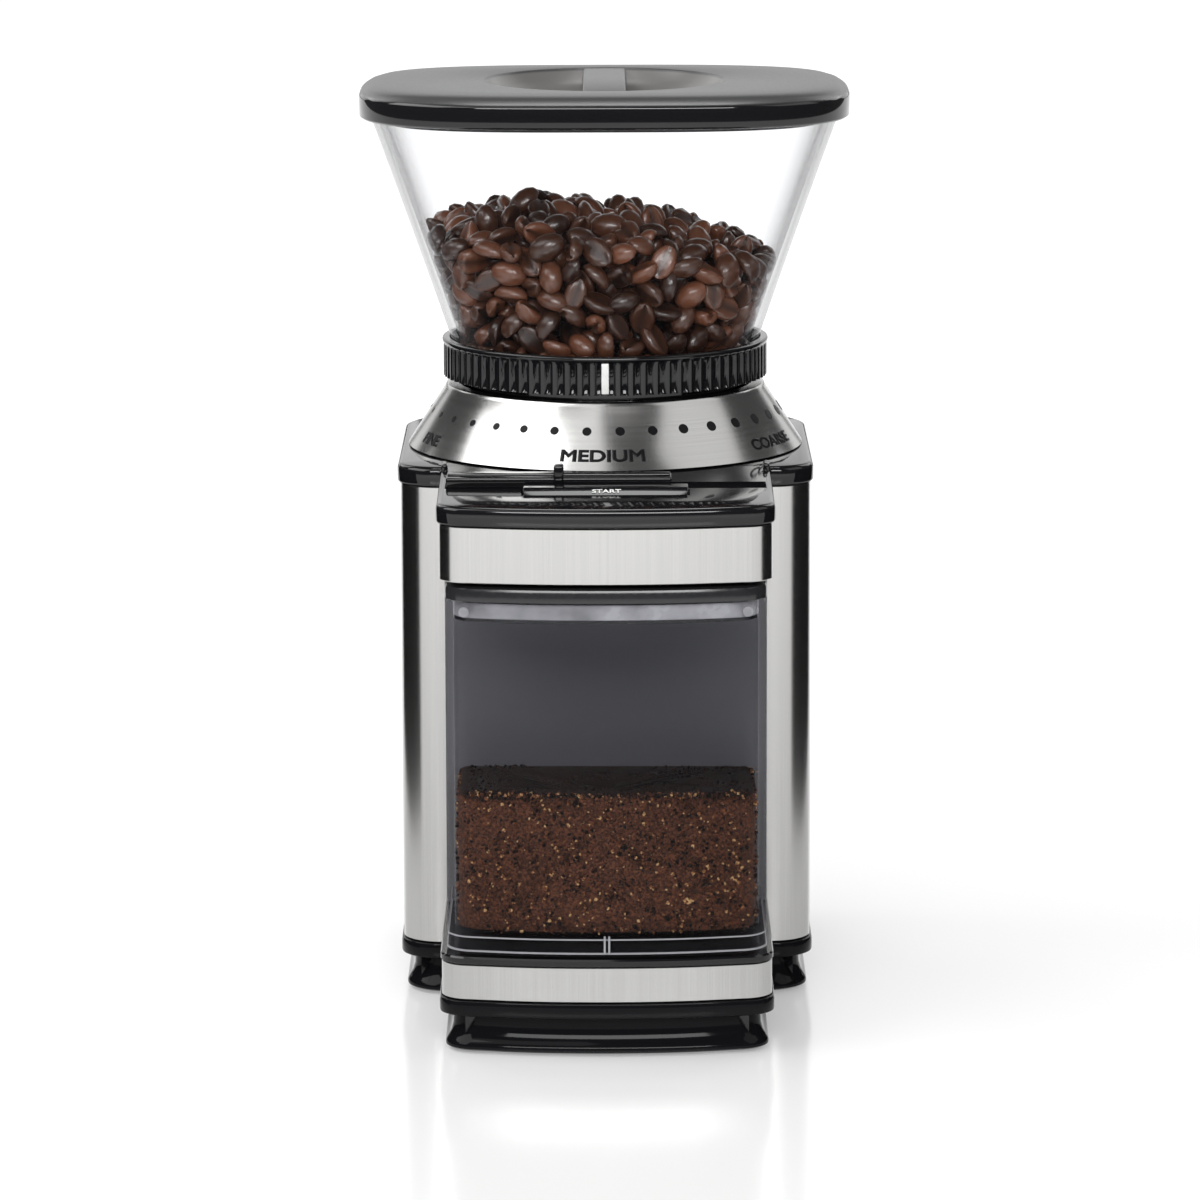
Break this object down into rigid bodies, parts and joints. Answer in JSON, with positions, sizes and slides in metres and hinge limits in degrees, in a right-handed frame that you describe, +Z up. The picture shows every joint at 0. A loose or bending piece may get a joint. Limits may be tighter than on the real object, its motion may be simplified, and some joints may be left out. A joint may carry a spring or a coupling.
{
  "type": "burr coffee grinder",
  "caption": "Upright electric burr coffee grinder with a clear flared bean hopper, a turning dial collar, a steel-wrapped body and a slide-out ground coffee chamber.",
  "frame": {"origin": "bottom centre of the overall box, on the surface that the feet stand on", "axes": "+Z up, -Y towards the user and the chamber, +X to the user's right, burr axis along Z at x 0, y 0.032"},
  "size_m": [0.148, 0.188, 0.273],
  "materials": {
    "gloss_black": "polished moulded black",
    "satin_black": "satin moulded black",
    "dark_grey": "fine textured dark grey",
    "brushed_shell": "brushed, grain upright",
    "brushed_dial": "brushed, grain round the ring",
    "burr_steel": "ground steel",
    "cast_metal": "cast, unpolished",
    "copper_winding": "varnished copper wire",
    "clear_plastic": "clear, polished",
    "smoked_plastic": "clear, lightly smoked",
    "pointer_white": "white",
    "foot_rubber": "matt rubber",
    "board_green": "lacquered board"
  },
  "bodies": {
    "housing": {"base": "gloss_black", "base_plate": "satin_black", "base_screw_1": "burr_steel", "base_screw_2": "burr_steel", "base_screw_3": "burr_steel", "base_screw_4": "burr_steel", "foot_front_left": "foot_rubber", "foot_front_right": "foot_rubber", "foot_rear_left": "foot_rubber", "foot_rear_right": "foot_rubber", "platform_tray": "gloss_black", "front_band": "brushed_shell", "steel_shell": "brushed_shell", "front_wall": "dark_grey", "cord_gland": "satin_black", "head_panel": "brushed_shell", "head_floor": "satin_black", "top_cover": "gloss_black", "slide_control": "satin_black", "start_switch": "satin_black", "button_spring": "burr_steel", "circuit_board": "board_green", "dial_ring": "brushed_dial", "motor_can": "cast_metal", "lower_bearing": "burr_steel", "upper_bearing": "burr_steel", "motor_mount": "cast_metal", "burr_housing": "satin_black", "hopper_switch": "satin_black", "chamber_switch": "satin_black"},
    "adjuster": {"adjust_ring": "satin_black"},
    "burr_set": {"upper_burr": "burr_steel", "burr_carrier": "satin_black", "carrier_bail": "burr_steel"},
    "hopper": {"hopper": "clear_plastic", "hopper_collar": "gloss_black", "hopper_pointer": "pointer_white"},
    "lid": {"hopper_lid": "gloss_black"},
    "drive": {"motor_rotor": "copper_winding", "motor_shaft": "burr_steel", "cooling_fan": "satin_black", "lower_burr": "burr_steel", "impeller": "cast_metal"},
    "chamber": {"chamber": "smoked_plastic", "chamber_lid": "smoked_plastic"},
    "slider": {"amount_slider": "gloss_black"},
    "button": {"start_button": "gloss_black"}
  },
  "joints": [
    {"name": "grind_setting", "type": "hinge", "parent": "housing", "child": "adjuster", "pos_m": [0, 0.032, 0], "axis": [0, 0, 1], "range_deg": [-85, 85]},
    {"name": "burr_lift", "type": "slide", "parent": "adjuster", "child": "burr_set", "axis": [0, 0, 1], "range_m": [-0.00086, 0.00086]},
    {"name": "hopper_lift", "type": "slide", "parent": "adjuster", "child": "hopper", "axis": [0, 0, 1], "range_m": [0, 0.12]},
    {"name": "lid_lift", "type": "slide", "parent": "hopper", "child": "lid", "axis": [0, 0, 1], "range_m": [0, 0.08]},
    {"name": "drive_spin", "type": "hinge", "parent": "housing", "child": "drive", "pos_m": [0, 0.032, 0], "axis": [0, 0, 1], "continuous": true},
    {"name": "chamber_pull", "type": "slide", "parent": "housing", "child": "chamber", "axis": [0, -1, 0], "range_m": [0, 0.12]},
    {"name": "amount_slide", "type": "slide", "parent": "housing", "child": "slider", "axis": [1, 0, 0], "range_m": [0, 0.027]},
    {"name": "start_press", "type": "slide", "parent": "housing", "child": "button", "axis": [0, 0, -1], "range_m": [0, 0.0015], "stiffness_N_per_m": 400, "springref_m": -0.001, "deforming": ["button_spring"]}
  ],
  "couplings": [
    {"joint": "burr_lift", "follows": "grind_setting", "m_per_rad": 0.000573}
  ]
}
